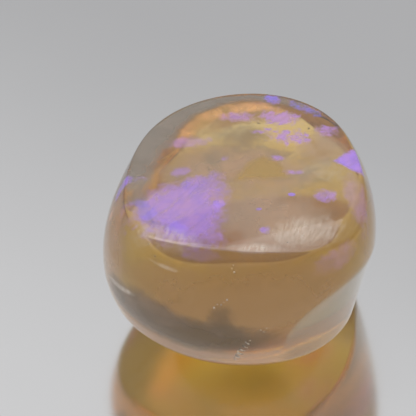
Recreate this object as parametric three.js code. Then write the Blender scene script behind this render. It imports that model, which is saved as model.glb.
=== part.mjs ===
// Crystal opal: one thick polished nodule of clear amber stone, about 15 mm across and 11 mm high.
// It is a single closed solid, bounded by the faces that a cutter ground and polished on it:
//   a slightly domed table on top, a narrow margin ground along its front edge,
//   two shoulder flats under the front and right edges,
//   a full wall that flares down to a crisp lower edge, a bevel below that edge,
//   one larger flat low on the right front and another low at the back,
//   a domed underside, and a small flat that it rests on.
// Millimetres and degrees. +Z is up, the front of the stone faces -Y and its right side +X.

import * as THREE from 'three';
import { mergeVertices } from 'three/addons/utils/BufferGeometryUtils.js';

// Table: height at its middle, radius of its dome, and how it leans up towards +X and towards +Y
const TABLE_HEIGHT = 10.96;
const DOME_RADIUS = 45.6;
const TABLE_LEAN_X = 0.97;
const TABLE_LEAN_Y = 0.31;

// Wall: its outline at the lower edge and just under the table, and how far it swells between them
const EDGE_HEIGHT = 4.22;
const TOP_OUTLINE_HEIGHT = 10.44;
const WALL_SWELL = 0.54;

// Each outline is a mean radius and a few waves around the stone, as [cosine, sine] of 1, 2, 3 and 4 turns
const EDGE_OUTLINE = { radius: 7.46, waves: [[0.21, 0.31], [-0.17, 0.49], [-0.41, -0.06], [0.02, -0.11]] };
const TOP_OUTLINE = { radius: 6.8, waves: [[0.39, 0.15], [-0.16, 0.02], [-0.06, -0.3], [-0.16, -0.01]] };

// Below the edge: the bevel, which was ground around the front and fades by this much towards the back,
// between these sines of the turn, then the domed underside
const BEVEL_SLOPE = -16.9;
const BEVEL_FADE = 0.31;
const FADE_STARTS = 0.2;
const FADE_ENDS = 0.8;
const UNDERSIDE_RADIUS = 11.37;
const UNDERSIDE_CENTRE = new THREE.Vector3(0.5, 0.77, 11.19);

// Flats ground by hand. azimuth is measured from the front (-Y) towards the right (+X), slope is how far the
// flat looks up, at is a point [out from the axis, height] that it is measured from, depth is how far inside
// that point it is cut, and the two bows are the radii of its curve across and up (negative is hollow).
const STRAIGHT = Infinity;
const FRONT_MARGIN = { azimuth: -8, slope: 79.5, at: [5.4, 10.6], depth: 0, bowAcross: 35, bowUp: STRAIGHT };
const SHOULDER_FRONT = {
  azimuth: -10.9, slope: 44.9, at: [7, 10.64], depth: 0.8, bowAcross: 17.1, bowUp: STRAIGHT,
};
const SHOULDER_RIGHT = {
  azimuth: 78.7, slope: 45.7, at: [7, 10.64], depth: 0.23, bowAcross: 11.4, bowUp: STRAIGHT,
};
const LOWER_FLAT = { azimuth: 59.8, slope: -20, at: [7.5, 6.44], depth: 0, bowAcross: 8.8, bowUp: -25 };
const BACK_FLAT = { azimuth: 196, slope: -25.3, at: [8.04, 6.79], depth: 0, bowAcross: 93, bowUp: STRAIGHT };

// How softly the polish has rounded the places where faces meet
const MARGIN_ROUNDING = 0.03;
const RIM_ROUNDING = 0.12;
const EDGE_ROUNDING = 0.12;
const FLAT_ROUNDING = 0.2;
const BASE_ROUNDING = 0.12;

// Mesh: columns around the stone, and rows from the top pole to the bottom pole in six bands, which end at
// the rim of the table, the foot of the shoulder, the lower edge, the foot of the bevel and the resting flat
const COLUMNS = 100;
const BANDS = { table: 8, shoulder: 2, wall: 10, bevel: 6, dome: 9, flat: 3 };
const NARROWEST_BAND = 1.5;

// The point inside the stone that every vertex is found from, and how finely it is found
const HEART = new THREE.Vector3(0, 0, 5.44);
const FARTHEST = 14;
const HALVINGS = 40;
const TOUCHING = 1e-4;

const radians = THREE.MathUtils.degToRad;

// Larger of two distances, rounded over where they are within `width` of each other
function softMax(a, b, width) {
  const share = THREE.MathUtils.clamp(0.5 + 0.5 * (a - b) / width, 0, 1);
  return THREE.MathUtils.lerp(b, a, share) + width * share * (1 - share);
}

function outlineRadius(outline, turn) {
  return outline.waves.reduce(
    (radius, [cosine, sine], index) =>
      radius + cosine * Math.cos((index + 1) * turn) + sine * Math.sin((index + 1) * turn),
    outline.radius,
  );
}

// Each face is a signed distance in millimetres: negative inside the stone, positive outside it

function tableFace(point) {
  const leaning = Math.tan(radians(TABLE_LEAN_X)) * point.x + Math.tan(radians(TABLE_LEAN_Y)) * point.y;
  const fallOff = (point.x ** 2 + point.y ** 2) / (2 * DOME_RADIUS);
  return point.z - TABLE_HEIGHT - leaning + fallOff;
}

function wallFace(point) {
  const turn = Math.atan2(point.y, point.x);
  const rise = Math.max(0, (point.z - EDGE_HEIGHT) / (TOP_OUTLINE_HEIGHT - EDGE_HEIGHT));
  const low = outlineRadius(EDGE_OUTLINE, turn);
  const high = outlineRadius(TOP_OUTLINE, turn);
  const swell = 4 * WALL_SWELL * rise * (1 - rise);
  return Math.hypot(point.x, point.y) - THREE.MathUtils.lerp(low, high, rise) - swell;
}

function lowerBevel(point) {
  const turn = Math.atan2(point.y, point.x);
  const fade = BEVEL_FADE * THREE.MathUtils.smoothstep(Math.sin(turn), FADE_STARTS, FADE_ENDS);
  const outward = Math.hypot(point.x, point.y) - outlineRadius(EDGE_OUTLINE, turn) - fade;
  return outward * Math.cos(radians(BEVEL_SLOPE)) + (point.z - EDGE_HEIGHT) * Math.sin(radians(BEVEL_SLOPE));
}

function underside(point) {
  return point.distanceTo(UNDERSIDE_CENTRE) - UNDERSIDE_RADIUS;
}

function groundFlat(flat) {
  const azimuth = radians(flat.azimuth);
  const slope = radians(flat.slope);
  const outward = new THREE.Vector3(Math.sin(azimuth), -Math.cos(azimuth), 0);
  const normal = outward.clone().multiplyScalar(Math.cos(slope)).setZ(Math.sin(slope));
  const across = new THREE.Vector3(Math.cos(azimuth), Math.sin(azimuth), 0);
  const upward = normal.clone().cross(across);
  const foot = outward.clone().multiplyScalar(flat.at[0]).setZ(flat.at[1]);
  return (point) => {
    const offset = point.clone().sub(foot);
    const bow = offset.dot(across) ** 2 / (2 * flat.bowAcross) + offset.dot(upward) ** 2 / (2 * flat.bowUp);
    return offset.dot(normal) + flat.depth + bow;
  };
}

const frontMargin = groundFlat(FRONT_MARGIN);
const shoulderFront = groundFlat(SHOULDER_FRONT);
const shoulderRight = groundFlat(SHOULDER_RIGHT);
const lowerFlat = groundFlat(LOWER_FLAT);
const backFlat = groundFlat(BACK_FLAT);

function aboveEdge(point) {
  let top = softMax(tableFace(point), frontMargin(point), MARGIN_ROUNDING);
  top = softMax(top, shoulderFront(point), RIM_ROUNDING);
  top = softMax(top, shoulderRight(point), RIM_ROUNDING);
  return softMax(top, wallFace(point), RIM_ROUNDING);
}

function belowEdge(point) {
  let ground = softMax(lowerBevel(point), lowerFlat(point), FLAT_ROUNDING);
  ground = softMax(ground, backFlat(point), FLAT_ROUNDING);
  return softMax(ground, underside(point), FLAT_ROUNDING);
}

function restingFlat(point) {
  return -point.z;
}

// The whole stone: the innermost of all its faces, softened where they meet
function stoneField(point) {
  const stone = softMax(aboveEdge(point), belowEdge(point), EDGE_ROUNDING);
  return softMax(stone, restingFlat(point), BASE_ROUNDING);
}

function lookingAlong(azimuth, elevation) {
  const level = Math.cos(elevation);
  return new THREE.Vector3(level * Math.cos(azimuth), level * Math.sin(azimuth), Math.sin(elevation));
}

// The point of the stone's surface that is seen from its heart in one direction
function surfacePoint(azimuth, elevation) {
  const direction = lookingAlong(azimuth, elevation);
  const point = new THREE.Vector3();
  let inside = 0;
  let outside = FARTHEST;
  for (let step = 0; step < HALVINGS; step += 1) {
    const middle = (inside + outside) / 2;
    point.copy(HEART).addScaledVector(direction, middle);
    if (stoneField(point) > 0) outside = middle;
    else inside = middle;
  }
  return point.copy(HEART).addScaledVector(direction, inside);
}

// The elevation, in one column, at which the upper faces give way to the lower ones
function creaseElevation(azimuth, upperFaces, lowerFaces) {
  let low = -Math.PI / 2;
  let high = Math.PI / 2;
  for (let step = 0; step < HALVINGS; step += 1) {
    const middle = (low + high) / 2;
    const point = surfacePoint(azimuth, middle);
    const upper = Math.max(...upperFaces.map((face) => face(point)));
    const lower = Math.max(...lowerFaces.map((face) => face(point)));
    if (upper > lower) high = middle;
    else low = middle;
  }
  return (low + high) / 2;
}

// The elevations of all rows in one column, evenly spaced inside each band
function rowElevations(azimuth) {
  const tops = [tableFace, frontMargin];
  const shoulders = [shoulderFront, shoulderRight];
  const rim = creaseElevation(azimuth, tops, [...shoulders, wallFace]);
  const foot = creaseElevation(azimuth, [...tops, ...shoulders], [wallFace]);
  const footOfShoulder = Math.min(foot, rim - radians(NARROWEST_BAND));
  const bevels = [lowerBevel, lowerFlat, backFlat];
  const edge = creaseElevation(azimuth, [wallFace], [...bevels, underside]);
  const keel = creaseElevation(azimuth, bevels, [underside]);
  const footOfBevel = Math.min(keel, edge - radians(NARROWEST_BAND));
  const flatRim = creaseElevation(azimuth, [...bevels, underside], [restingFlat]);
  const ends = [Math.PI / 2, rim, footOfShoulder, edge, footOfBevel, flatRim, -Math.PI / 2];
  const rows = [ends[0]];
  Object.values(BANDS).forEach((count, band) => {
    for (let row = 1; row <= count; row += 1) {
      rows.push(THREE.MathUtils.lerp(ends[band], ends[band + 1], row / count));
    }
  });
  return rows;
}

// A globe of rows and columns whose every vertex is moved to the stone's surface, rows along its creases
function stoneGeometry() {
  const rowCount = Object.values(BANDS).reduce((sum, count) => sum + count, 0);
  const globe = new THREE.SphereGeometry(1, COLUMNS, rowCount);
  globe.deleteAttribute('normal');
  globe.deleteAttribute('uv');
  const positions = globe.getAttribute('position');
  for (let column = 0; column <= COLUMNS; column += 1) {
    const azimuth = ((column % COLUMNS) * 2 * Math.PI) / COLUMNS;
    rowElevations(azimuth).forEach((elevation, row) => {
      const isPole = row === 0 || row === rowCount;
      const vertex = surfacePoint(isPole ? 0 : azimuth, elevation);
      if (Math.abs(vertex.z) < TOUCHING) vertex.z = 0;
      positions.setXYZ(row * (COLUMNS + 1) + column, vertex.x, vertex.y, vertex.z);
    });
  }
  const geometry = mergeVertices(globe, TOUCHING);
  geometry.computeBoundingBox();
  const middle = geometry.boundingBox.getCenter(new THREE.Vector3());
  geometry.translate(-middle.x, -middle.y, -geometry.boundingBox.min.z);
  geometry.computeVertexNormals();
  return geometry;
}

const opal = new THREE.MeshStandardMaterial({ color: '#b59a7a', roughness: 0.05, metalness: 0 });

const stone = new THREE.Mesh(stoneGeometry(), opal);
stone.name = 'opal_stone';

const group = new THREE.Group();
group.name = 'crystal_opal';
group.add(stone);

export default group;
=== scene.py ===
# %% [markdown]
# A crystal opal is one natural stone: clear to amber silica that a cutter has ground and polished all over.
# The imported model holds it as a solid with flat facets, which is right for resting and colliding, but clear
# stone shows every facet. So this lesson builds the same form again as a fine mesh, makes it see-through,
# and puts into it what a real opal has inside: haze, patches that play in violet and blue, and small flaws.

# %% Load the frame
import math

import bpy
import numpy as np
from mathutils import Matrix, Vector


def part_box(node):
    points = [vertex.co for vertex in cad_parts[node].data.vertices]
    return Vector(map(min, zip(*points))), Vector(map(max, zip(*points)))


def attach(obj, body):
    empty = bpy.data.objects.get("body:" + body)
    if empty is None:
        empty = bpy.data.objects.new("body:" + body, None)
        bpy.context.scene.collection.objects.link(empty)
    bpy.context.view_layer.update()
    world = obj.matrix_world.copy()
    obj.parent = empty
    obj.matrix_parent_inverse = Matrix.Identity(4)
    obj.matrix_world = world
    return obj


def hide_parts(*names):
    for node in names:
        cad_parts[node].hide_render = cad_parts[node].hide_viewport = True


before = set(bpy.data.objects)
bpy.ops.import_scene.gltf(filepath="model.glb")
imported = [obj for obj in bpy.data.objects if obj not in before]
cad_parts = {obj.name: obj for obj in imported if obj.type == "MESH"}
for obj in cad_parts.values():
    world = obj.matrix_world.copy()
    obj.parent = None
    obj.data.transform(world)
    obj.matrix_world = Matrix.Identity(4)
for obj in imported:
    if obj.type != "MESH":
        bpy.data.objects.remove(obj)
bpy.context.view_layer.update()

MM = 0.001
STONE_NODE = "opal_stone"
STONE_LOW, STONE_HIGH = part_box(STONE_NODE)
STONE_SIZE = (STONE_HIGH - STONE_LOW) / MM

# %% [markdown]
# The stone's form is a set of faces that a cutter ground one after another: a slightly domed table, a front
# margin and two shoulders under its rim, a full wall, a bevel that fades towards the back, large flats low on
# the right and at the back, a domed underside, and the small flat that it rests on. Each could be a sculpted
# patch, but a formula is exact. A face is a function that is negative inside the stone and positive outside
# it, and the stone is where all are negative. All sizes here are in millimetres, and turns start at +X.

# %% Driving sizes of the stone
TABLE_HEIGHT = 10.96
DOME_RADIUS = 45.6
TABLE_LEAN_X = 0.97
TABLE_LEAN_Y = 0.31
EDGE_HEIGHT = 4.22
TOP_OUTLINE_HEIGHT = 10.44
WALL_SWELL = 0.54
EDGE_OUTLINE = (7.46, ((0.21, 0.31), (-0.17, 0.49), (-0.41, -0.06), (0.02, -0.11)))
TOP_OUTLINE = (6.8, ((0.39, 0.15), (-0.16, 0.02), (-0.06, -0.3), (-0.16, -0.01)))
BEVEL_SLOPE = -16.9
BEVEL_FADE = 0.31
FADE_STARTS = 0.2
FADE_ENDS = 0.8
UNDERSIDE_RADIUS = 11.37
UNDERSIDE_CENTRE = np.array([0.5, 0.77, 11.19])
MARGIN_ROUNDING = 0.03
RIM_ROUNDING = 0.12
EDGE_ROUNDING = 0.12
FLAT_ROUNDING = 0.2
BASE_ROUNDING = 0.12
HEART = np.array([0, 0, 5.44])


def soft_max(first, second, width):
    """The larger of two distances, rounded over where they are within `width` of each other."""
    share = np.clip(0.5 + 0.5 * (first - second) / width, 0, 1)
    return second + (first - second) * share + width * share * (1 - share)


def outline_radius(outline, turn):
    """A mean radius and a few waves around the stone."""
    radius, waves = outline
    for order, (cosine, sine) in enumerate(waves, start=1):
        radius = radius + cosine * np.cos(order * turn) + sine * np.sin(order * turn)
    return radius


# %% The turned faces: table, wall, bevel, underside
def table_face(points):
    x, y, z = points[..., 0], points[..., 1], points[..., 2]
    lean = math.tan(math.radians(TABLE_LEAN_X)) * x + math.tan(math.radians(TABLE_LEAN_Y)) * y
    return z - TABLE_HEIGHT - lean + (x * x + y * y) / (2 * DOME_RADIUS)


def wall_face(points):
    x, y, z = points[..., 0], points[..., 1], points[..., 2]
    turn = np.arctan2(y, x)
    rise = np.maximum(0, (z - EDGE_HEIGHT) / (TOP_OUTLINE_HEIGHT - EDGE_HEIGHT))
    straight = outline_radius(EDGE_OUTLINE, turn) * (1 - rise) + outline_radius(TOP_OUTLINE, turn) * rise
    return np.hypot(x, y) - straight - 4 * WALL_SWELL * rise * (1 - rise)


def bevel_face(points):
    x, y, z = points[..., 0], points[..., 1], points[..., 2]
    turn = np.arctan2(y, x)
    share = np.clip((np.sin(turn) - FADE_STARTS) / (FADE_ENDS - FADE_STARTS), 0, 1)
    fade = BEVEL_FADE * share * share * (3 - 2 * share)
    outward = np.hypot(x, y) - outline_radius(EDGE_OUTLINE, turn) - fade
    slope = math.radians(BEVEL_SLOPE)
    return outward * math.cos(slope) + (z - EDGE_HEIGHT) * math.sin(slope)


def underside_face(points):
    return np.linalg.norm(points - UNDERSIDE_CENTRE, axis=-1) - UNDERSIDE_RADIUS


def resting_face(points):
    return -points[..., 2]


# %% The flats ground by hand
def ground_flat(azimuth, slope, out, height, depth, bow_across, bow_up=math.inf):
    """A flat that looks `azimuth` degrees from the front towards the right, and `slope` degrees up."""
    azimuth, slope = math.radians(azimuth), math.radians(slope)
    outward = np.array([math.sin(azimuth), -math.cos(azimuth), 0])
    normal = outward * math.cos(slope) + np.array([0, 0, math.sin(slope)])
    across = np.array([math.cos(azimuth), math.sin(azimuth), 0])
    upward = np.cross(normal, across)
    foot = outward * out + np.array([0, 0, height])

    def face(points):
        offset = points - foot
        bow = (offset @ across) ** 2 / (2 * bow_across) + (offset @ upward) ** 2 / (2 * bow_up)
        return offset @ normal + depth + bow

    return face


front_margin = ground_flat(-8, 79.5, out=5.4, height=10.6, depth=0, bow_across=35)
shoulder_front = ground_flat(-10.9, 44.9, out=7, height=10.64, depth=0.8, bow_across=17.1)
shoulder_right = ground_flat(78.7, 45.7, out=7, height=10.64, depth=0.23, bow_across=11.4)
lower_flat = ground_flat(59.8, -20, out=7.5, height=6.44, depth=0, bow_across=8.8, bow_up=-25)
back_flat = ground_flat(196, -25.3, out=8.04, height=6.79, depth=0, bow_across=93)

TOPS = [table_face, front_margin]
SHOULDERS = [shoulder_front, shoulder_right]
BEVELS = [bevel_face, lower_flat, back_flat]
UPPER_FACES = TOPS + SHOULDERS + [wall_face]
LOWER_FACES = BEVELS + [underside_face]


def stone_field(points):
    above = soft_max(table_face(points), front_margin(points), MARGIN_ROUNDING)
    above = soft_max(above, shoulder_front(points), RIM_ROUNDING)
    above = soft_max(above, shoulder_right(points), RIM_ROUNDING)
    above = soft_max(above, wall_face(points), RIM_ROUNDING)
    below = soft_max(bevel_face(points), lower_flat(points), FLAT_ROUNDING)
    below = soft_max(below, back_flat(points), FLAT_ROUNDING)
    below = soft_max(below, underside_face(points), FLAT_ROUNDING)
    stone = soft_max(above, below, EDGE_ROUNDING)
    return soft_max(stone, resting_face(points), BASE_ROUNDING)


print("distance of the heart from the skin", round(float(-stone_field(HEART)), 2), "mm")

# %% [markdown]
# A mesh is found on this form by looking out from the stone's heart in many directions and halving the way
# to the skin again and again. A remeshed blob would round off the crisp rims, so the rows of this globe are
# laid along them instead, and crowd together towards each one. The true slope of the form gives the normals,
# so that light bends through the stone as it does through a polished surface.

# %% Find the skin and its creases
FARTHEST = 14.0
HALVINGS = 36


def skin(start, directions):
    """The points where rays that leave `start` inside the stone come out of it."""
    inside = np.zeros(directions.shape[:-1])
    outside = np.full(directions.shape[:-1], FARTHEST)
    for _ in range(HALVINGS):
        middle = (inside + outside) / 2
        is_out = stone_field(start + middle[..., None] * directions) > 0
        outside = np.where(is_out, middle, outside)
        inside = np.where(is_out, inside, middle)
    return start + inside[..., None] * directions


def looking_along(turn, elevation):
    level = np.cos(elevation)
    return np.stack([level * np.cos(turn), level * np.sin(turn), np.sin(elevation)], -1)


def crease(turns, faces_above, faces_below):
    """The elevation, for each turn, at which the upper faces give way to the lower ones."""
    low = np.full(turns.shape, -math.pi / 2)
    high = np.full(turns.shape, math.pi / 2)
    for _ in range(HALVINGS):
        middle = (low + high) / 2
        points = skin(HEART, looking_along(turns, middle))
        above = np.max([face(points) for face in faces_above], axis=0)
        below = np.max([face(points) for face in faces_below], axis=0)
        high = np.where(above > below, middle, high)
        low = np.where(above > below, low, middle)
    return (low + high) / 2


def outward_normals(points, step=1e-4):
    """The direction in which the form grows fastest, which is straight out of the skin."""
    slopes = [stone_field(points + step * axis) - stone_field(points - step * axis) for axis in np.eye(3)]
    normals = np.stack(slopes, -1)
    return normals / np.linalg.norm(normals, axis=-1, keepdims=True)


# %% Lay rows and columns over the stone
COLUMNS = 384
ROWS = {"table": 56, "shoulder": 18, "wall": 56, "bevel": 30, "dome": 34, "flat": 10}
NARROWEST_BAND = math.radians(1)


def stone_rows(turns):
    """Elevations of all rows but the poles, closer together near each crease."""
    rim = crease(turns, TOPS, SHOULDERS + [wall_face])
    foot = np.minimum(crease(turns, TOPS + SHOULDERS, [wall_face]), rim - NARROWEST_BAND)
    edge = crease(turns, [wall_face], LOWER_FACES)
    keel = np.minimum(crease(turns, BEVELS, [underside_face]), edge - NARROWEST_BAND)
    flat_rim = crease(turns, LOWER_FACES, [resting_face])
    top = np.full(turns.shape, math.pi / 2)
    ends = [top, rim, foot, edge, keel, flat_rim, -top]
    rows = []
    for band, count in enumerate(ROWS.values()):
        for row in range(1, count + 1):
            share = 0.5 - 0.5 * math.cos(math.pi * row / count)
            rows.append(ends[band] + (ends[band + 1] - ends[band]) * share)
    return np.array(rows[:-1])


def stone_mesh():
    """Vertices and faces of the whole skin, as quads with a fan of triangles at each pole."""
    turns = np.arange(COLUMNS) * 2 * math.pi / COLUMNS
    rows = stone_rows(turns)
    belt = skin(HEART, looking_along(np.broadcast_to(turns, rows.shape), rows))
    poles = skin(HEART, np.array([[0.0, 0.0, 1.0], [0.0, 0.0, -1.0]]))
    vertices = np.concatenate([poles[:1], belt.reshape(-1, 3), poles[1:]])
    following = (np.arange(COLUMNS) + 1) % COLUMNS
    faces = [(0, 1 + column, 1 + after) for column, after in enumerate(following)]
    for row in range(len(rows) - 1):
        upper, lower = 1 + row * COLUMNS, 1 + (row + 1) * COLUMNS
        for column, after in enumerate(following):
            faces.append((upper + column, lower + column, lower + after, upper + after))
    last, bottom = 1 + (len(rows) - 1) * COLUMNS, len(vertices) - 1
    faces += [(last + column, bottom, last + after) for column, after in enumerate(following)]
    return vertices, faces


skin_points, skin_faces = stone_mesh()
skin_normals = outward_normals(skin_points)
print("skin:", len(skin_points), "vertices,", len(skin_faces), "faces")

# %% [markdown]
# The form is drawn around the stone's axis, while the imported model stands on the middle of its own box. The
# fine mesh is laid into that box exactly, so it can't be larger than the solid that it stands for. The same
# step is kept as a function, because everything inside the stone is placed by it too.

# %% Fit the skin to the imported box
SKIN_LOW, SKIN_HIGH = skin_points.min(0), skin_points.max(0)
FIT = np.array(STONE_SIZE) / (SKIN_HIGH - SKIN_LOW)


def to_frame(points):
    """From the form's own millimetres to the frame's metres."""
    return np.array(STONE_LOW) + (points - SKIN_LOW) * FIT * MM


def from_frame(x, y, z=0.0):
    """From the frame's millimetres to the form's own."""
    return SKIN_LOW + (np.array([x, y, z]) - np.array(STONE_LOW) / MM) / FIT


def smooth_mesh(name, points, faces):
    mesh = bpy.data.meshes.new(name)
    mesh.from_pydata(to_frame(points).tolist(), [], [tuple(int(corner) for corner in face) for face in faces])
    mesh.polygons.foreach_set("use_smooth", [True] * len(mesh.polygons))
    return mesh


def store_values(mesh, name, values):
    """Keeps one number for each vertex, for a material to read by name."""
    layer = mesh.attributes.new(name, "FLOAT", "POINT")
    layer.data.foreach_set("value", np.asarray(values, np.float32))


def place_piece(name, mesh):
    piece = bpy.data.objects.new(name, mesh)
    bpy.context.scene.collection.objects.link(piece)
    return piece


stone = place_piece("clear_stone", smooth_mesh("clear_stone", skin_points, skin_faces))
stone.data.normals_split_custom_set_from_vertices(skin_normals.tolist())
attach(stone, "root")
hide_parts(STONE_NODE)
print("stretch to fit the box", np.round(FIT, 4))

# %% [markdown]
# The bevel and the flat low on the right were left with a ground finish of fine lines and a grey tint. Their
# pale look beside the polish is a painted sheen, a faint glow for the bright floor that they mirror.
# The front shoulder is darkened in colour, a painted shade for the dark depth of the stone that it shows, and
# the underside glows gold where light gathers in the dome. A material of its own for each face would end in a
# hard line where a stone has none. So there is one material, and each vertex keeps three numbers from 0 to 1
# that
# tell it where it is: on the ground faces, on the shoulder or on the underside.

# %% Mark the ground faces, the shoulder and the underside
FINISH_BLEND = 0.04


def share_of_face(chosen):
    """1 where one of the chosen faces bounds the stone, 0 where another face does."""
    others = [face for face in UPPER_FACES + LOWER_FACES if face not in chosen]
    inside = np.max([face(skin_points) for face in chosen], axis=0)
    outside = np.max([face(skin_points) for face in others], axis=0)
    return np.clip(0.5 + (inside - outside) / FINISH_BLEND, 0, 1)


store_values(stone.data, "ground_faces", share_of_face([bevel_face, lower_flat]))
store_values(stone.data, "shoulder", share_of_face([shoulder_front]))
store_values(stone.data, "underside", share_of_face([underside_face]))
for name in ("ground_faces", "shoulder", "underside"):
    kept = np.zeros(len(skin_points), np.float32)
    stone.data.attributes[name].data.foreach_get("value", kept)
    print("share of the skin on", name, round(float(kept.mean()), 2))

# %% [markdown]
# Materials are trees of nodes. A few small helpers keep the code short: they add a node and set or link its
# inputs, mix two colours, read a number that the mesh keeps, fill a colour ramp, and start or place a node
# group with named sockets. A group is an effect that is built once and placed in each material with its own
# values.

# %% Helpers for node trees
def feed(tree, socket, value):
    """Links another node's output to a socket, or sets the socket to a plain value."""
    if isinstance(value, bpy.types.NodeSocket):
        tree.links.new(value, socket)
    else:
        socket.default_value = value


def add_node(tree, kind, inputs=None, **settings):
    made = tree.nodes.new("ShaderNode" + kind)
    for name, value in settings.items():
        setattr(made, name, value)
    for name, value in (inputs or {}).items():
        feed(tree, made.inputs[name], value)
    return made


def mix_colours(tree, share, first, second):
    """A colour between two others. The mix node takes its share at socket 0, its colours at 6 and 7."""
    return add_node(tree, "Mix", {0: share, 6: first, 7: second}, data_type="RGBA").outputs[2]


def stored(tree, name):
    """Reads a number that the mesh keeps for each vertex."""
    return add_node(tree, "Attribute", attribute_name=name).outputs["Fac"]


def ramp_colours(tree, share, stops):
    """The colour at a place along a ramp. Each stop is a place from 0 to 1 and a colour."""
    made = add_node(tree, "ValToRGB", {"Fac": share})
    elements = made.color_ramp.elements
    elements[0].position, elements[0].color = stops[0]
    elements[1].position, elements[1].color = stops[-1]
    for place, colour in stops[1:-1]:
        elements.new(place).color = colour
    return made.outputs["Color"]


# %% Helpers for groups and materials
def new_group(name, inputs, output):
    """A group with number inputs, given by name with their usual values, and one number that it puts out."""
    group = bpy.data.node_groups.new(name, "ShaderNodeTree")
    for label, usual in inputs.items():
        socket = group.interface.new_socket(label, in_out="INPUT", socket_type="NodeSocketFloat")
        socket.default_value = usual
    group.interface.new_socket(output, in_out="OUTPUT", socket_type="NodeSocketFloat")
    given = group.nodes.new("NodeGroupInput").outputs
    result = group.nodes.new("NodeGroupOutput").inputs[output]
    return group, given, result


def place_group(tree, group, **inputs):
    """Places a group in a tree, and gives the one number that it puts out."""
    made = tree.nodes.new("ShaderNodeGroup")
    made.node_tree = group
    for name, value in inputs.items():
        feed(tree, made.inputs[name], value)
    return made.outputs[0]


def input_names(group):
    return [socket.name for socket in group.interface.items_tree if socket.in_out == "INPUT"]


def new_material(name):
    material = bpy.data.materials.new(name)
    material.use_nodes = True
    tree = material.node_tree
    return material, tree, tree.nodes["Principled BSDF"]


# %% [markdown]
# Opal is never evenly clear: its haze drifts in soft clouds a few millimetres across. A painted texture would
# first need the skin unwrapped, and noise that fills space doesn't. The same clouds also mottle the colour
# patches and the floor, so they are a group. Its size is given in millimetres, its centre and softness say
# which share of the noise counts as cloud.

# %% Node group for clouds
def make_clouds():
    usual = {"Size": 3.0, "Centre": 0.5, "Softness": 0.2, "Seed": 0.0}
    group, given, result = new_group("clouds", usual, "Mask")
    place = add_node(group, "TexCoord").outputs["Object"]
    per_metre = add_node(group, "Math", {0: 1 / MM, 1: given["Size"]}, operation="DIVIDE")
    noise = add_node(group, "TexNoise", {"Vector": place, "Scale": per_metre.outputs[0], "W": given["Seed"],
                                         "Detail": 3.0, "Distortion": 0.8}, noise_dimensions="4D")
    low = add_node(group, "Math", {0: given["Centre"], 1: given["Softness"]}, operation="SUBTRACT")
    high = add_node(group, "Math", {0: given["Centre"], 1: given["Softness"]}, operation="ADD")
    mask = add_node(group, "MapRange", {"Value": noise.outputs["Fac"], "From Min": low.outputs[0],
                                        "From Max": high.outputs[0]}, interpolation_type="SMOOTHSTEP")
    group.links.new(mask.outputs["Result"], result)
    return group


clouds = make_clouds()
print("clouds take", input_names(clouds))

# %% [markdown]
# Grinding leaves fine parallel lines, and the play of colour is made of fine parallel bands too, so streaks
# are a second group: noise that is stretched along one direction. Size is how wide a streak is in
# millimetres, and Length how many times longer it is. Turn swings the streaks in the level plane and Tilt
# lifts them out of it, both in degrees.

# %% Node group for streaks
def make_streaks():
    usual = {"Size": 0.2, "Length": 8.0, "Turn": 0.0, "Tilt": 0.0}
    group, given, result = new_group("streaks", usual, "Height")
    place = add_node(group, "TexCoord").outputs["Object"]
    turn = add_node(group, "Math", {0: given["Turn"]}, operation="RADIANS")
    tilt = add_node(group, "Math", {0: given["Tilt"]}, operation="RADIANS")
    angles = add_node(group, "CombineXYZ", {"Y": tilt.outputs[0], "Z": turn.outputs[0]})
    turned = add_node(group, "VectorRotate", {"Vector": place, "Rotation": angles.outputs[0]},
                      rotation_type="EULER_XYZ", invert=True)
    short = add_node(group, "Math", {0: 1.0, 1: given["Length"]}, operation="DIVIDE")
    stretch = add_node(group, "CombineXYZ", {"X": short.outputs[0], "Y": 1.0, "Z": 1.0})
    pulled = add_node(group, "VectorMath", {0: turned.outputs[0], 1: stretch.outputs[0]},
                      operation="MULTIPLY")
    per_metre = add_node(group, "Math", {0: 1 / MM, 1: given["Size"]}, operation="DIVIDE")
    noise = add_node(group, "TexNoise", {"Vector": pulled.outputs[0], "Scale": per_metre.outputs[0],
                                         "Detail": 2.0})
    group.links.new(noise.outputs["Fac"], result)
    return group


streaks = make_streaks()
print("streaks take", input_names(streaks))

# %% [markdown]
# Nothing inside the stone has a clean outline. The third group wears away the border of a patch with two
# sizes of cloud. Inner says how far inside its patch a point is, from 0 to 1, and Broken how much of the
# patch has gone: at 0 only its border is ragged, at 1 just scattered flecks are left. Border is the width of
# the soft rim.

# %% Node group for ragged patches
FINE_TO_BROAD = 0.35
CLOUD_SOFTNESS = 0.24
LEAST_WEAR = 0.4
BORDER_LOSS = 0.62


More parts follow.
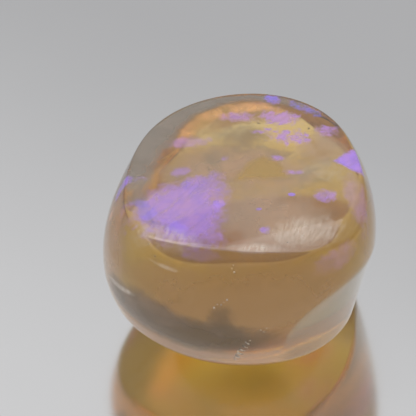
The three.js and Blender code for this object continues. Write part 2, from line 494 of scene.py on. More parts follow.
def make_ragged():
    usual = {"Inner": 1.0, "Strength": 0.5, "Broken": 0.0, "Size": 1.0, "Seed": 0.0, "Border": 0.55}
    group, given, result = new_group("ragged", usual, "Alpha")
    fine_size = add_node(group, "Math", {0: given["Size"], 1: FINE_TO_BROAD}, operation="MULTIPLY").outputs[0]
    broad = place_group(group, clouds, Size=given["Size"], Softness=CLOUD_SOFTNESS, Seed=given["Seed"])
    fine = place_group(group, clouds, Size=fine_size, Softness=CLOUD_SOFTNESS, Seed=given["Seed"])
    both = add_node(group, "Math", {0: broad, 1: fine}, operation="ADD")
    centred = add_node(group, "Math", {0: both.outputs[0], 1: 0.5, 2: -0.5}, operation="MULTIPLY_ADD")
    reach = add_node(group, "Math", {0: given["Broken"], 1: LEAST_WEAR}, operation="ADD")
    worn = add_node(group, "Math", {0: centred.outputs[0], 1: reach.outputs[0], 2: given["Inner"]},
                    operation="MULTIPLY_ADD")
    low = add_node(group, "Math", {0: given["Broken"], 1: BORDER_LOSS}, operation="MULTIPLY")
    high = add_node(group, "Math", {0: low.outputs[0], 1: given["Border"]}, operation="ADD")
    left = add_node(group, "MapRange", {"Value": worn.outputs[0], "From Min": low.outputs[0],
                                        "From Max": high.outputs[0]}, interpolation_type="SMOOTHSTEP")
    alpha = add_node(group, "Math", {0: left.outputs["Result"], 1: given["Strength"]}, operation="MULTIPLY")
    group.links.new(alpha.outputs[0], result)
    return group


ragged = make_ragged()
print("ragged takes", input_names(ragged))

# %% [markdown]
# The stone itself is a clear solid. Light enters it with the bend of opal, which is less than that of glass,
# and loses blue on its way through, which is why thick parts look amber: that is a volume absorption, not a
# painted colour. A little of the light doesn't pass but is scattered back, as a milk with a touch of blue.
# Real scattering would be slow and noisy, so the milk and the gold of the dome are faint glows. The ground
# faces glow faintly too, a painted sheen for the bright floor that they mirror. A thin sharp coat keeps the
# mirror polish on the outside, while the body behind it stays slightly soft.

# %% Values of the clear stone
OPAL_IOR = 1.45
CLEAR_SHARE = 0.92
BODY_SOFTNESS = 0.1
POLISH = 0.6
POLISH_SOFTNESS = 0.02
AMBER = (0.94, 0.765, 0.10, 1)
AMBER_DENSITY = 200.0
CLEAR_TINT = (0.99, 0.97, 0.94, 1)
CLOUDED_TINT = (0.92, 0.86, 0.78, 1)
GROUND_TINT = (0.52, 0.56, 0.54, 1)
# Painted shade: the front shoulder's colour is darkened for the dark depth of the stone that it shows.
SHOULDER_PAINTED_SHADE = (0.50, 0.41, 0.43, 1)
# Painted sheen: a pale glow on the ground faces for the bright floor that they mirror, paler along the lines.
GROUND_PAINTED_SHEEN = (0.065, 0.058, 0.046, 1)
GROUND_PAINTED_SHEEN_LINE = (0.12, 0.108, 0.088, 1)
GOLD_GLOW = (0.062, 0.044, 0.002, 1)
NO_GLOW = (0.0, 0.0, 0.0, 1)
MILK = (0.012, 0.012, 0.014, 1)
MARK_DEPTH = 0.02 * MM
WAVE_STRENGTH = 0.08
RUB_STRENGTH = 0.5

# %% Material of the clear stone
def clear_opal():
    material, tree, shader = new_material("clear_opal")
    ground = stored(tree, "ground_faces")
    haze = place_group(tree, clouds, Size=4.5, Centre=0.5, Softness=0.18, Seed=1.7)
    lines = place_group(tree, streaks, Size=0.16, Length=14.0, Turn=28.0, Tilt=35.0)
    body = mix_colours(tree, haze, CLEAR_TINT, CLOUDED_TINT)
    # Painted shade on the front shoulder.
    shaded = mix_colours(tree, stored(tree, "shoulder"), body, SHOULDER_PAINTED_SHADE)
    tint = mix_colours(tree, ground, shaded, GROUND_TINT)
    milk = mix_colours(tree, haze, NO_GLOW, MILK)
    # The painted sheen of the ground faces, paler along the grinding lines.
    painted_sheen = mix_colours(tree, lines, GROUND_PAINTED_SHEEN, GROUND_PAINTED_SHEEN_LINE)
    glow = mix_colours(tree, ground, milk, painted_sheen)
    gold = mix_colours(tree, stored(tree, "underside"), glow, GOLD_GLOW)
    waves = place_group(tree, clouds, Size=1.6, Centre=0.5, Softness=0.5, Seed=5.0)
    polish = add_node(tree, "Bump", {"Height": waves, "Strength": WAVE_STRENGTH, "Distance": MARK_DEPTH})
    brushed = add_node(tree, "Math", {0: lines, 1: ground}, operation="MULTIPLY")
    marks = add_node(tree, "Bump", {"Height": brushed.outputs[0], "Strength": RUB_STRENGTH,
                                    "Distance": MARK_DEPTH, "Normal": polish.outputs[0]})
    absorption = add_node(tree, "VolumeAbsorption", {"Color": AMBER, "Density": AMBER_DENSITY})
    tree.links.new(tint, shader.inputs["Base Color"])
    tree.links.new(gold, shader.inputs["Emission Color"])
    tree.links.new(marks.outputs[0], shader.inputs["Normal"])
    tree.links.new(absorption.outputs[0], tree.nodes["Material Output"].inputs["Volume"])
    shader.inputs["Emission Strength"].default_value = 1.0
    shader.inputs["Transmission Weight"].default_value = CLEAR_SHARE
    shader.inputs["Roughness"].default_value = BODY_SOFTNESS
    shader.inputs["IOR"].default_value = OPAL_IOR
    shader.inputs["Coat Weight"].default_value = POLISH
    shader.inputs["Coat Roughness"].default_value = POLISH_SOFTNESS
    shader.inputs["Coat IOR"].default_value = OPAL_IOR
    return material


stone.data.materials.append(clear_opal())
light_left = [math.exp(-AMBER_DENSITY * (1 - part) * 10 * MM) for part in AMBER[:3]]
print("light left after 10 mm of stone", [round(part, 2) for part in light_left])

# %% [markdown]
# Inside the stone, colour lies in leaves: thin, flat patches a millimetre or so under the skin at most, some
# no larger than a grain. Painting them on the skin would make them slide over the rims and look like dye, so
# each is a very thin closed lens of its own in the stone, seen through the polished face. A leaf is a square
# grid that is rounded to a disc, once for its upper side and once for its lower one, joined at the border. A
# ray passes eight see-through faces at most and each leaf has two, so where more than four leaves lie behind
# each other a black mark is left. They are laid apart for that reason.

# %% Leaf meshes
LEAF_THICKNESS = 0.04
LEAF_STEPS = 14


class Leaves:
    """Collects thin closed leaves, with the values that their material reads at each vertex."""

    def __init__(self):
        self.points, self.faces = [], []
        self.values = {"inner": [], "hue": [], "strength": [], "broken": []}

    def add(self, middle, normals, inner, **look):
        """Takes a grid of points, their normals, and how far inside the leaf each one is, from 0 to 1."""
        rows, columns = inner.shape
        start = sum(len(block) for block in self.points)
        half = (LEAF_THICKNESS / 2) * np.sqrt(inner)[..., None] * normals
        border = np.ones(inner.shape, bool)
        border[1:-1, 1:-1] = False
        top = start + np.arange(rows * columns).reshape(rows, columns)
        bottom = top.copy()
        bottom[~border] = start + rows * columns + np.arange(np.count_nonzero(~border))
        self.points += [(middle + half).reshape(-1, 3), (middle - half)[~border]]
        for name, value in {"inner": inner, "hue": 0.5, "strength": 0.5, "broken": 0.0, **look}.items():
            spread = np.broadcast_to(value, inner.shape)
            self.values[name] += [spread.ravel(), spread[~border]]
        # Both sides start from the same corner, so they split along the same diagonal and never cross.
        for side in (top, bottom):
            first, second, third, fourth = side[:-1, :-1], side[:-1, 1:], side[1:, 1:], side[1:, :-1]
            corners = (first, second, third, fourth) if side is top else (first, fourth, third, second)
            self.faces += np.stack(corners, -1).reshape(-1, 4).tolist()

    def piece(self, name, material):
        """Makes one piece of all the leaves, which rides with the stone."""
        mesh = smooth_mesh(name, np.concatenate(self.points), self.faces)
        for label, blocks in self.values.items():
            store_values(mesh, label, np.concatenate(blocks))
        mesh.materials.append(material)
        made = place_piece(name, mesh)
        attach(made, "root")
        print(name, "has", len(mesh.polygons), "faces")


# %% Lay a leaf at a place in the stone
def unit_disc():
    """A square grid rounded to a disc: across, along, and how far inside the rim each point is."""
    steps = np.linspace(-1, 1, LEAF_STEPS + 1)
    u, v = np.meshgrid(steps, steps, indexing="ij")
    across, along = u * np.sqrt(1 - v * v / 2), v * np.sqrt(1 - u * u / 2)
    return across, along, np.clip(1 - across ** 2 - along ** 2, 0, 1)


UP = np.array([0.0, 0.0, 1.0])
SIGHT_SLANT = 0.61


def under_table(level, depth):
    """The places at a depth under the table, above points of the level plane."""
    start = np.concatenate([level, np.full(level.shape[:-1] + (1,), HEART[2])], -1)
    return skin(start, np.broadcast_to(UP, start.shape)) - UP * depth


def lay_under_table(leaves, level_x, level_y, inner, depth, look):
    """A leaf is laid farther back the deeper it lies, so that it is seen from the front at its own place."""
    middle = under_table(np.stack([level_x, level_y + depth * SIGHT_SLANT], -1), depth)
    leaves.add(middle, np.broadcast_to(UP, middle.shape), inner, **look)


def oval_leaf(leaves, x, y, length, width, turn=0.0, depth=0.4, **look):
    """An oval leaf under the table. Its middle is given in the frame; length and width are half sizes."""
    x, y, _ = from_frame(x, y)
    across, along, inner = unit_disc()
    turn = math.radians(turn)
    level_x = x + across * length * math.cos(turn) - along * width * math.sin(turn)
    level_y = y + across * length * math.sin(turn) + along * width * math.cos(turn)
    lay_under_table(leaves, level_x, level_y, inner, depth, look)


def patch_leaf(leaves, corners, depth=0.4, **look):
    """A leaf under the table with corners, each one given in the frame and seen from their middle."""
    corners = np.array([from_frame(x, y)[:2] for x, y in corners])
    middle = corners.mean(0)
    offsets = corners - middle
    turns = np.arctan2(offsets[:, 1], offsets[:, 0])
    order = np.argsort(turns)
    across, along, inner = unit_disc()
    angle = np.arctan2(along, across)
    sides = [np.interp(angle, turns[order], offsets[order, axis], period=2 * math.pi) for axis in (0, 1)]
    out = np.hypot(across, along)
    lay_under_table(leaves, middle[0] + out * sides[0], middle[1] + out * sides[1], inner, depth, look)


def arc_leaf(leaves, stops, depth=0.4, **look):
    """A bent leaf around the middle of the table. Each stop is a turn, a radius and a half width."""
    turns, radii, widths = np.array(stops, float).T
    across, along, inner = unit_disc()
    turn = (turns[0] + turns[-1]) / 2 + across * (turns[-1] - turns[0]) / 2
    radius = np.interp(turn, turns, radii) + along * np.interp(turn, turns, widths)
    x, y, _ = from_frame(0.0, 0.0)
    level_x = x + radius * np.cos(np.radians(turn))
    level_y = y + radius * np.sin(np.radians(turn))
    lay_under_table(leaves, level_x, level_y, inner, depth, look)


def wall_leaf(leaves, azimuth, height, width, tall, lean=0.0, depth=0.4, **look):
    """A leaf behind the wall, at degrees from the front towards the right. width and tall are half sizes."""
    across, along, inner = unit_disc()
    middle = math.radians(azimuth - 90)
    mean_radius = EDGE_OUTLINE[0]
    turns = middle + across * width / mean_radius
    start = np.zeros(across.shape + (3,))
    start[..., 2] = height + along * tall + across * width * math.tan(math.radians(lean))
    points = skin(start, np.stack([np.cos(turns), np.sin(turns), np.zeros(turns.shape)], -1))
    normals = outward_normals(points)
    leaves.add(points - normals * depth, normals, inner, **look)


def leaf_alpha(tree, **look):
    """The ragged alpha of a leaf, from the numbers that its mesh keeps."""
    return place_group(tree, ragged, Inner=stored(tree, "inner"), Strength=stored(tree, "strength"),
                       Broken=stored(tree, "broken"), **look)


# %% [markdown]
# The play of colour comes from tiny spheres of silica in regular rows, which send back one narrow colour and
# let the rest pass. A colour that depends on the angle of view would be nearer to nature, but it is lost in
# an export. So a leaf gives off a little light of its own fixed colour and hides only part of what is behind
# it. Its fine bands stand for stacking faults in the rows. hue runs from blue over violet, mauve and pink to
# orange.

# %% Material of the colour leaves
BLUE = (0.16, 0.20, 0.95, 1)
VIOLET = (0.36, 0.21, 0.92, 1)
MAUVE = (0.54, 0.30, 0.80, 1)
PINK = (0.76, 0.38, 0.66, 1)
ORANGE = (0.84, 0.46, 0.15, 1)
PLAY_HUES = ((0.0, BLUE), (0.28, VIOLET), (0.49, MAUVE), (0.7, PINK), (1.0, ORANGE))
HUE_DRIFT = 0.07
BAND_FAINTEST = 0.72
PLAY_GLOW = 0.6


def play_of_colour_material():
    material, tree, shader = new_material("play_of_colour")
    alpha = leaf_alpha(tree, Size=0.9, Seed=3.1, Border=0.7)
    bands = place_group(tree, streaks, Size=0.5, Length=6.0, Turn=44.0)
    banded = add_node(tree, "MapRange", {"Value": bands, "From Min": 0.3, "From Max": 0.55,
                                         "To Min": BAND_FAINTEST, "To Max": 1.0}).outputs["Result"]
    shaped = add_node(tree, "Math", {0: alpha, 1: banded}, operation="MULTIPLY")
    drift = place_group(tree, clouds, Size=0.8, Softness=0.25, Seed=6.2)
    shift = add_node(tree, "MapRange", {"Value": drift, "To Min": -HUE_DRIFT, "To Max": HUE_DRIFT})
    moved = add_node(tree, "Math", {0: stored(tree, "hue"), 1: shift.outputs["Result"]}, operation="ADD")
    colour = ramp_colours(tree, moved.outputs[0], PLAY_HUES)
    tree.links.new(colour, shader.inputs["Base Color"])
    tree.links.new(colour, shader.inputs["Emission Color"])
    tree.links.new(shaped.outputs[0], shader.inputs["Alpha"])
    shader.inputs["Emission Strength"].default_value = PLAY_GLOW
    shader.inputs["Roughness"].default_value = 0.6
    shader.inputs["Specular IOR Level"].default_value = 0.0
    return material


# %% The colour leaves under the table
PLAY = Leaves()
MAIN_PATCH = ((-6.5, -2.2), (-4.7, -1.1), (-2.6, -0.3), (-0.9, -0.1), (0.1, -1.7), (-0.4, -3.6),
              (-0.5, -6.6), (-2.6, -6.7), (-4.8, -5.6), (-6.3, -3.8))
RIGHT_TRIANGLE = ((5.1, 0.3), (6.5, 1.9), (7.0, -1.0))
patch_leaf(PLAY, MAIN_PATCH, depth=0.5, hue=0.34, strength=0.48, broken=0.14)
oval_leaf(PLAY, -3.0, -0.3, 0.8, 0.6, turn=15, depth=0.6, hue=0.34, strength=0.35, broken=0.45)
oval_leaf(PLAY, -5.0, -3.1, 1.7, 0.7, turn=-52, depth=0.35, hue=0.24, strength=0.26, broken=0.55)
oval_leaf(PLAY, -3.6, -4.3, 1.8, 0.6, turn=-42, depth=0.35, hue=0.26, strength=0.26, broken=0.55)
oval_leaf(PLAY, -1.0, -3.1, 0.4, 0.35, depth=0.4, hue=0.4, strength=0.35, broken=0.2)
oval_leaf(PLAY, -2.6, 2.3, 1.7, 0.7, turn=-4, depth=0.7, hue=0.44, strength=0.34, broken=0.55)
oval_leaf(PLAY, 0.3, 4.35, 1.7, 0.8, turn=-6, depth=0.7, hue=0.48, strength=0.42, broken=0.7)
oval_leaf(PLAY, 2.5, 4.2, 1.9, 1.2, turn=-24, depth=0.6, hue=0.46, strength=0.55, broken=0.75)
oval_leaf(PLAY, 2.7, 2.5, 2.4, 1.2, turn=-16, depth=0.6, hue=0.41, strength=0.6, broken=0.78)
oval_leaf(PLAY, 4.9, 3.0, 1.0, 0.8, turn=-30, depth=0.6, hue=0.42, strength=0.5, broken=0.7)
patch_leaf(PLAY, RIGHT_TRIANGLE, depth=0.35, hue=0.35, strength=0.7, broken=0.05)
oval_leaf(PLAY, 6.3, -2.5, 0.7, 2.3, turn=8, depth=0.5, hue=0.43, strength=0.17, broken=0.3)
oval_leaf(PLAY, 2.1, 6.1, 0.6, 0.8, turn=15, depth=0.3, hue=0.2, strength=0.6, broken=0.45)
oval_leaf(PLAY, 3.8, 5.1, 1.6, 0.55, turn=-38, depth=0.3, hue=0.12, strength=0.45, broken=0.65)
oval_leaf(PLAY, 2.2, 0.5, 0.6, 0.4, depth=0.5, hue=0.4, strength=0.5, broken=0.7)
oval_leaf(PLAY, 2.9, -0.7, 0.8, 0.35, depth=0.5, hue=0.42, strength=0.45, broken=0.6)
oval_leaf(PLAY, 2.9, -2.5, 0.24, 0.16, depth=0.5, hue=0.28, strength=0.6, broken=0.1)
oval_leaf(PLAY, 4.75, -2.5, 0.9, 0.75, turn=-20, depth=0.5, hue=0.4, strength=0.45, broken=0.65)
oval_leaf(PLAY, 1.4, -5.1, 0.4, 0.5, turn=30, depth=0.5, hue=0.34, strength=0.42, broken=0.75)
oval_leaf(PLAY, 1.1, -3.6, 0.2, 0.14, depth=0.5, hue=0.28, strength=0.4, broken=0.2)
oval_leaf(PLAY, -0.6, 0.6, 0.45, 0.5, depth=0.6, hue=0.32, strength=0.4, broken=0.75)

# %% The colour leaves behind the wall
wall_leaf(PLAY, -92, 9.8, 0.8, 0.9, depth=0.2, hue=0.32, strength=0.5, broken=0.2)
wall_leaf(PLAY, -86, 8.5, 0.25, 0.6, depth=0.25, hue=0.95, strength=0.5, broken=0.6)
wall_leaf(PLAY, -20, 10.2, 1.8, 0.4, depth=0.25, hue=0.33, strength=0.1, broken=0.3)
wall_leaf(PLAY, 44, 8.9, 2.2, 1.0, depth=0.6, hue=0.46, strength=0.15, broken=0.3)
wall_leaf(PLAY, 86, 8.4, 2.6, 1.5, depth=0.5, hue=0.56, strength=0.4, broken=0.75)
wall_leaf(PLAY, 130, 8.0, 2.4, 1.4, lean=15, depth=0.5, hue=0.32, strength=0.45, broken=0.8)
wall_leaf(PLAY, 175, 7.6, 2.8, 1.2, lean=-10, depth=0.5, hue=0.45, strength=0.4, broken=0.85)
wall_leaf(PLAY, -140, 8.0, 2.6, 1.5, lean=10, depth=0.5, hue=0.28, strength=0.45, broken=0.8)
wall_leaf(PLAY, -100, 6.6, 2.0, 1.1, lean=20, depth=0.6, hue=0.42, strength=0.3, broken=0.9)
PLAY.piece("play_of_colour", play_of_colour_material())

# %% [markdown]
# Between the colours hangs plain haze. It greys the view into the stone, most of all near the left and back
# rim, where it turns slate, and it is what makes opal look soft where glass would look hard. A volume that
# scatters would fill the stone evenly and take long to render, so the haze is made of leaves too, but broad,
# cloudy ones. hue runs from orange over gold, amber, tan, slate and brown to umber, and also shifts the
# clouds, so that no two kinds of haze have the same ones.

# %% Material of the haze leaves
ORANGE_HAZE = (0.80, 0.46, 0.19, 1)
GOLD_HAZE = (0.36, 0.23, 0.035, 1)
AMBER_HAZE = (0.30, 0.17, 0.045, 1)
TAN_HAZE = (0.40, 0.28, 0.21, 1)
SLATE_HAZE = (0.21, 0.185, 0.165, 1)
BROWN_HAZE = (0.17, 0.105, 0.055, 1)
UMBER_HAZE = (0.10, 0.055, 0.01, 1)
HAZE_HUES = ((0.0, ORANGE_HAZE), (0.1, GOLD_HAZE), (0.25, AMBER_HAZE), (0.4, TAN_HAZE), (0.65, SLATE_HAZE),
             (0.85, BROWN_HAZE), (1.0, UMBER_HAZE))
SEEDS_PER_HUE = 7.0
HAZE_GLOW = 0.7


def haze_material():
    material, tree, shader = new_material("inner_haze")
    hue = stored(tree, "hue")
    seed = add_node(tree, "Math", {0: hue, 1: SEEDS_PER_HUE}, operation="MULTIPLY").outputs[0]
    alpha = leaf_alpha(tree, Size=2.0, Seed=seed, Border=0.95)
    drift = place_group(tree, clouds, Size=2.6, Softness=0.2, Seed=30.0)
    centred = add_node(tree, "Math", {0: drift, 1: 0.5}, operation="SUBTRACT")
    moved = add_node(tree, "Math", {0: centred.outputs[0], 1: stored(tree, "broken"), 2: hue},
                     operation="MULTIPLY_ADD")
    colour = ramp_colours(tree, moved.outputs[0], HAZE_HUES)
    tree.links.new(colour, shader.inputs["Base Color"])
    tree.links.new(colour, shader.inputs["Emission Color"])
    tree.links.new(alpha, shader.inputs["Alpha"])
    shader.inputs["Emission Strength"].default_value = HAZE_GLOW
    shader.inputs["Roughness"].default_value = 0.8
    shader.inputs["Specular IOR Level"].default_value = 0.0
    return material


# %% The haze of this stone
HAZE = Leaves()
# Painted light: a gold leaf whose glow stands for the light that gathers in the underside dome, seen through
# the table.
PAINTED_GOLD_DOME = ((-0.5, -1.5), (0.4, 0.3), (1.5, 0.9), (2.4, 0.3), (3.2, -1.4))
RIM_CRESCENT = ((25, 6.9, 0.3), (40, 6.75, 0.45), (60, 6.5, 0.75), (80, 6.6, 0.75), (105, 6.3, 0.95),
                (150, 5.55, 1.7), (180, 5.5, 1.7), (198, 5.7, 1.4), (210, 6.0, 0.9), (225, 6.3, 0.3))
# Painted light: an orange leaf whose glow stands for the bright light seen through the back of the table.
PAINTED_BRIGHT_ARC = ((35, 5.0, 0.5), (75, 5.5, 0.75), (100, 5.0, 0.8), (135, 3.9, 0.9), (170, 3.7, 0.7))
oval_leaf(HAZE, 0.2, -0.5, 5.5, 2.7, depth=1.3, hue=0.52, strength=0.62, broken=0.25)
oval_leaf(HAZE, 4.6, 1.6, 1.9, 2.3, depth=0.9, hue=0.38, strength=0.5, broken=0.3)
# The painted gold light of the dome.
patch_leaf(HAZE, PAINTED_GOLD_DOME, depth=0.45, hue=0.11, strength=1.0, broken=0.0)
oval_leaf(HAZE, 0.2, 2.5, 2.1, 1.4, depth=0.9, hue=0.78, strength=0.42, broken=0.3)
# The painted light of the bright arc.
arc_leaf(HAZE, PAINTED_BRIGHT_ARC, depth=0.8, hue=0.03, strength=0.48, broken=0.2)
arc_leaf(HAZE, RIM_CRESCENT, depth=0.35, hue=0.66, strength=0.85, broken=0.1)
wall_leaf(HAZE, 0, 7.3, 8.5, 3.2, depth=0.4, hue=0.25, strength=0.85, broken=0.0)
wall_leaf(HAZE, -30, 5.0, 6.6, 1.5, depth=0.3, hue=1.0, strength=1.0, broken=0.0)
wall_leaf(HAZE, -46, 5.9, 3.6, 1.5, depth=0.22, hue=0.94, strength=0.75, broken=0.25)
wall_leaf(HAZE, -9, 6.4, 1.0, 1.5, depth=0.22, hue=0.92, strength=0.45, broken=0.3)
oval_leaf(HAZE, 1.6, -4.2, 3.9, 2.8, depth=0.8, hue=0.44, strength=0.58, broken=0.12)
wall_leaf(HAZE, 78, 8.2, 3.4, 2.8, depth=0.4, hue=0.22, strength=0.85, broken=0.1)
wall_leaf(HAZE, 104, 5.6, 2.8, 1.7, depth=0.3, hue=0.16, strength=0.7, broken=0.2)
wall_leaf(HAZE, -78, 7.4, 3.0, 3.2, depth=0.4, hue=0.3, strength=0.75, broken=0.1)
wall_leaf(HAZE, 180, 7.0, 9.0, 2.6, depth=0.5, hue=0.24, strength=0.6, broken=0.2)
HAZE.piece("inner_haze", haze_material())

# %% [markdown]
# No natural stone is flawless. Pale scratches and bruises from the grinding lie just under the polish of the
# front margin, the table and the wall. A bump on the skin would catch light but stay clear, so they are
# leaves once more, pale ones, whose alpha is cut into fine lines.

# %% Pale bruises under the polish
PALE = (0.78, 0.72, 0.66, 1)
LINE_FAINTEST = 0.3
BRUISE_GLOW = 0.5


def bruise_material():
    material, tree, shader = new_material("pale_bruises")
    alpha = leaf_alpha(tree, Size=0.9, Seed=12.3, Border=1.0)
    lines = place_group(tree, streaks, Size=0.1, Length=10.0, Turn=72.0)
    fine = add_node(tree, "MapRange", {"Value": lines, "From Min": 0.4, "From Max": 0.62,
                                       "To Min": LINE_FAINTEST, "To Max": 1.0}).outputs["Result"]
    cut = add_node(tree, "Math", {0: alpha, 1: fine}, operation="MULTIPLY")
    tree.links.new(cut.outputs[0], shader.inputs["Alpha"])
    shader.inputs["Base Color"].default_value = PALE
    shader.inputs["Emission Color"].default_value = PALE
    shader.inputs["Emission Strength"].default_value = BRUISE_GLOW
    shader.inputs["Roughness"].default_value = 0.5
    return material


BRUISES = Leaves()
oval_leaf(BRUISES, 3.4, -5.2, 2.7, 1.5, turn=14, depth=0.15, strength=0.32, broken=0.22)
oval_leaf(BRUISES, 4.8, -0.5, 1.6, 1.1, turn=-10, depth=0.45, strength=0.18, broken=0.4)
oval_leaf(BRUISES, -3.9, -5.2, 2.8, 0.9, turn=-27, depth=0.15, strength=0.28, broken=0.25)
oval_leaf(BRUISES, 0.8, -6.4, 1.8, 0.4, turn=-2, depth=0.12, strength=0.38, broken=0.05)
wall_leaf(BRUISES, -62, 6.0, 1.9, 0.28, lean=14, depth=0.15, strength=0.4, broken=0.2)
wall_leaf(BRUISES, -36, 9.2, 1.3, 0.18, lean=-3, depth=0.15, strength=0.26, broken=0.3)
wall_leaf(BRUISES, 150, 7.0, 1.6, 0.12, lean=-20, depth=0.15, strength=0.5, broken=0.2)
BRUISES.piece("pale_bruises", bruise_material())

# %% [markdown]
# Specks are smaller still: pinholes and grains of about a tenth of a millimetre or less, most of them in
# three little groups behind the front wall, and a few just under the table. A picture of dots would look
# printed on, so each speck is a tiny ball. A short crack over the lower edge has healed in ribs and looks
# like a tiny spring, so it is a tube wound on a helix. Specks and crack share one greyish, slightly glossy
# material.

# %% Small bodies in the stone
SPECK_STEPS = 8


class Lumps:
    """Collects small closed bodies, given in the form's millimetres."""

    def __init__(self):
        self.points, self.faces = [], []

    def add(self, rings, first, last):
        """Takes rings of points from one end to the other, and the two end points."""
        count, sides = rings.shape[:2]
        start = sum(len(block) for block in self.points)
        at = start + 1 + np.arange(count * sides).reshape(count, sides)
        after = np.roll(at, -1, axis=1)
        self.points += [first[None], rings.reshape(-1, 3), last[None]]
        self.faces += [(start, a, b) for a, b in zip(after[0], at[0])]
        self.faces += np.stack([at[:-1], after[:-1], after[1:], at[1:]], -1).reshape(-1, 4).tolist()
        self.faces += [(start + 1 + count * sides, a, b) for a, b in zip(at[-1], after[-1])]


def on_wall(x, z, depth):
    """A point behind the front wall, from the frame's x and height."""
    start = from_frame(x, 0.0, z)
    point = skin(start, np.array([0.0, -1.0, 0.0]))
    return point - outward_normals(point) * depth


def speck(lumps, middle, size):
    """A ball of the given width."""
    lifts = np.linspace(-math.pi / 2, math.pi / 2, SPECK_STEPS + 1)[1:-1]
    turns = np.arange(SPECK_STEPS) * 2 * math.pi / SPECK_STEPS
    rings = middle + size / 2 * looking_along(turns[None, :], lifts[:, None] + 0 * turns[None, :])
    up = UP * size / 2
    lumps.add(rings, middle - up, middle + up)


# %% The ribbed crack
COIL_TURNS = 6
COIL_RADIUS = 0.2
COIL_STEPS = 96
TUBE_RADIUS = 0.035
TUBE_SIDES = 6


def ribbed_crack(lumps, low, high, depth):
    """A tube wound around the line between two places on the front wall, each one given as (x, z)."""
    low, high = on_wall(*low, depth), on_wall(*high, depth)
    axis = (high - low) / np.linalg.norm(high - low)
    side = np.cross(axis, np.array([0.0, -1.0, 0.0]))
    side /= np.linalg.norm(side)
    front = np.cross(side, axis)
    share = np.linspace(0, 1, COIL_STEPS)[:, None]
    turn = share * COIL_TURNS * 2 * math.pi
    swelling = COIL_RADIUS * np.sin(math.pi * (0.15 + 0.7 * share))
    path = low + (high - low) * share + swelling * (side * np.cos(turn) + 0.5 * front * np.sin(turn))
    along = np.gradient(path, axis=0)
    along /= np.linalg.norm(along, axis=1, keepdims=True)
    first = np.cross(along, axis)
    first /= np.linalg.norm(first, axis=1, keepdims=True)
    second = np.cross(along, first)
    around = np.arange(TUBE_SIDES) * 2 * math.pi / TUBE_SIDES
    ring = first[:, None] * np.cos(around)[None, :, None] + second[:, None] * np.sin(around)[None, :, None]
    lumps.add(path[:, None] + TUBE_RADIUS * ring, path[0], path[-1])


# %% Material of the specks
SPECK_DARK = (0.03, 0.025, 0.02, 1)
SPECK_PALE = (0.75, 0.7, 0.64, 1)
SPECK_GLOW = 0.35


def speck_material():
    material, tree, shader = new_material("specks")
    tone = place_group(tree, clouds, Size=0.25, Softness=0.1, Seed=20.0)
    colour = mix_colours(tree, tone, SPECK_DARK, SPECK_PALE)
    tree.links.new(colour, shader.inputs["Base Color"])
    tree.links.new(colour, shader.inputs["Emission Color"])
    shader.inputs["Emission Strength"].default_value = SPECK_GLOW
    shader.inputs["Roughness"].default_value = 0.35
    return material


# %% Specks behind the wall and under the table
LEFT_GROUP = ((-1.49, 7.38, 0.12), (-1.1, 7.59, 0.09), (-0.77, 7.92, 0.11), (-1.3, 7.6, 0.06),
              (-0.95, 7.75, 0.05))
LOW_GROUP = ((1.0, 5.85, 0.09), (1.33, 5.95, 0.07), (1.16, 5.67, 0.1), (-2.0, 6.3, 0.06))
HIGH_GROUP = ((-0.37, 9.87, 0.06), (-0.33, 9.51, 0.1), (-0.45, 9.7, 0.05), (2.0, 10.1, 0.06),
              (-4.6, 9.6, 0.08))
TABLE_GROUP = ((-4.9, -5.3, 0.08), (2.6, -6.0, 0.09), (3.3, -5.7, 0.06), (0.9, -6.3, 0.05), (5.0, 0.6, 0.05))
DEPTH_IN_WALL = 0.06
DEPTH_IN_TABLE = 0.05
CRACK_FOOT, CRACK_HEAD = (-0.45, 3.2), (0.35, 5.0)
CRACK_DEPTH = 0.3

SPECKS = Lumps()
for x, z, width in LEFT_GROUP + LOW_GROUP + HIGH_GROUP:
    speck(SPECKS, on_wall(x, z, DEPTH_IN_WALL), width)
for x, y, width in TABLE_GROUP:
    speck(SPECKS, under_table(from_frame(x, y)[:2], DEPTH_IN_TABLE), width)
ribbed_crack(SPECKS, CRACK_FOOT, CRACK_HEAD, CRACK_DEPTH)
specks = place_piece("specks", smooth_mesh("specks", np.concatenate(SPECKS.points), SPECKS.faces))
specks.data.materials.append(speck_material())
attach(specks, "root")
print("specks has", len(specks.data.polygons), "faces")

# %% [markdown]
# The floor is a plain polished slab. It is a stage and not a part of the object. Its surface is almost a
# mirror, because the stone shows a soft golden image of itself at its foot. It is barely mottled, and its
# colour darkens gently from the front left to the back right, a painted falloff of the light.

# %% Polished floor
FLOOR_SIZE = 1.6
# Painted light: the floor's colour runs from pale at the front left to grey at the back right, for light that
# falls off.
FLOOR_PALE = (0.99, 0.99, 1.0, 1)
FLOOR_GREY = (0.74, 0.74, 0.755, 1)
PALE_AT = Vector((-12, -10)) * MM
GREY_AT = Vector((10, 22)) * MM
FLOOR_MOTTLE = 0.06
SMOOTHEST, DULLEST = 0.11, 0.15


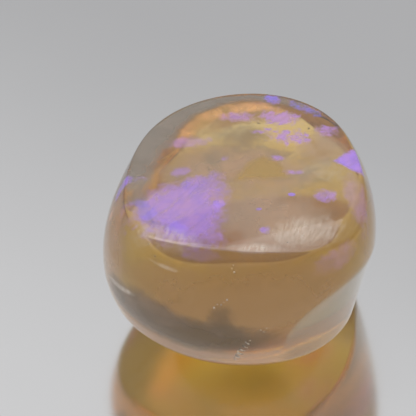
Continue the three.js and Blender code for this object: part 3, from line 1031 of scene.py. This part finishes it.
def polished_floor():
    material, tree, shader = new_material("polished_floor")
    drift = place_group(tree, clouds, Size=18.0, Centre=0.5, Softness=0.3, Seed=0.4)
    place = add_node(tree, "TexCoord").outputs["Object"]
    # The painted falloff of light across the floor.
    way = GREY_AT - PALE_AT
    along = add_node(tree, "VectorMath", {0: place, 1: (way.x, way.y, 0)}, operation="DOT_PRODUCT")
    share = add_node(tree, "MapRange", {"Value": along.outputs["Value"], "From Min": PALE_AT.dot(way),
                                        "From Max": GREY_AT.dot(way)}, interpolation_type="SMOOTHSTEP")
    mottled = add_node(tree, "Math", {0: drift, 1: FLOOR_MOTTLE, 2: share.outputs["Result"]},
                       operation="MULTIPLY_ADD")
    tint = mix_colours(tree, mottled.outputs[0], FLOOR_PALE, FLOOR_GREY)
    gloss = add_node(tree, "MapRange", {"Value": drift, "To Min": SMOOTHEST, "To Max": DULLEST})
    tree.links.new(tint, shader.inputs["Base Color"])
    tree.links.new(gloss.outputs["Result"], shader.inputs["Roughness"])
    shader.inputs["Metallic"].default_value = 1.0
    return material


bpy.ops.mesh.primitive_plane_add(size=FLOOR_SIZE)
floor = bpy.context.object
floor.name = "floor"
floor.data.materials.append(polished_floor())

# %% [markdown]
# The camera is a long macro lens that looks down on the stone from its front. It is placed by the point that
# it looks at, the height of its view above the level, and its distance. The angle of view follows from how
# many millimetres of the stone's surroundings the square picture shows at that distance.

# %% Camera
VIEW_TARGET = Vector((-1.703, 4.028, 4.450)) * MM
VIEW_ELEVATION = math.radians(40.71)
VIEW_AZIMUTH = math.radians(-0.44)
VIEW_ROLL = math.radians(2.04)
VIEW_DISTANCE = 0.3
PICTURE_WIDTH = 23.29 * MM


def view_camera():
    lens = bpy.data.cameras.new("macro_lens")
    camera = bpy.data.objects.new("macro_lens", lens)
    bpy.context.scene.collection.objects.link(camera)
    level = math.cos(VIEW_ELEVATION)
    across, ahead = level * math.sin(VIEW_AZIMUTH), level * math.cos(VIEW_AZIMUTH)
    looking = Vector((across, ahead, -math.sin(VIEW_ELEVATION)))
    camera.location = VIEW_TARGET - looking * VIEW_DISTANCE
    upright = looking.to_track_quat("-Z", "Y").to_matrix()
    camera.rotation_euler = (Matrix.Rotation(VIEW_ROLL, 3, looking) @ upright).to_euler()
    lens.angle = 2 * math.atan(PICTURE_WIDTH / 2 / VIEW_DISTANCE)
    lens.clip_start = 0.01
    return camera


bpy.context.scene.camera = view_camera()

# %% [markdown]
# The light is a pale studio: a grey surround that is dim at the level and brightest overhead, as in a cloth
# tent. The sky is a ramp over the height of each direction. An image of a real studio would do too, but a
# clear stone shows all of it upside down, and a ramp keeps that calm. One broad soft lamp hangs over the
# stone, which mirrors it as a bright line along the front margin. It lights the stone alone, so that it
# leaves no glare on the floor, and it isn't seen through the stone.

# %% Surround
SKY_STOPS = ((0.0, 0.1), (0.17, 0.2), (0.26, 0.33), (0.34, 0.4), (0.5, 0.42), (0.62, 0.56), (0.68, 0.64),
             (0.8, 0.55), (0.9, 0.6), (0.95, 0.9), (1.0, 1.0))


def studio_sky():
    world = bpy.data.worlds.new("studio")
    world.use_nodes = True
    tree = world.node_tree
    direction = add_node(tree, "TexCoord").outputs["Generated"]
    height = add_node(tree, "SeparateXYZ", {0: direction}).outputs["Z"]
    greys = [(sine, (level, level, level, 1)) for sine, level in SKY_STOPS]
    tree.links.new(ramp_colours(tree, height, greys), tree.nodes["Background"].inputs["Color"])
    return world


bpy.context.scene.world = studio_sky()
print("the sky has", len(SKY_STOPS), "stops")

# %% Lamp
LAMP_HEIGHT = 0.4
LAMP_BACK, LAMP_FRONT = 0.22, -0.10
LAMP_WIDTH = 0.34
LAMP_RADIANCE = 1.1


def overhead_lamp(lit):
    light = bpy.data.lights.new("overhead_lamp", "AREA")
    light.shape = "RECTANGLE"
    light.size = LAMP_WIDTH
    light.size_y = LAMP_BACK - LAMP_FRONT
    light.energy = LAMP_RADIANCE * math.pi * light.size * light.size_y
    lamp = bpy.data.objects.new("overhead_lamp", light)
    lamp.location = (0, (LAMP_BACK + LAMP_FRONT) / 2, LAMP_HEIGHT)
    lamp.visible_transmission = False
    receivers = bpy.data.collections.new("lit_by_the_lamp")
    receivers.objects.link(lit)
    lamp.light_linking.receiver_collection = receivers
    bpy.context.scene.collection.objects.link(lamp)
    return lamp


lamp = overhead_lamp(stone)
print("the lamp gives", round(lamp.data.energy, 3), "watts")

# %% [markdown]
# The picture is shown as it falls on the eye, without a film curve, so that greys stay as they are lit.

# %% View transform
bpy.context.scene.view_settings.view_transform = "Standard"
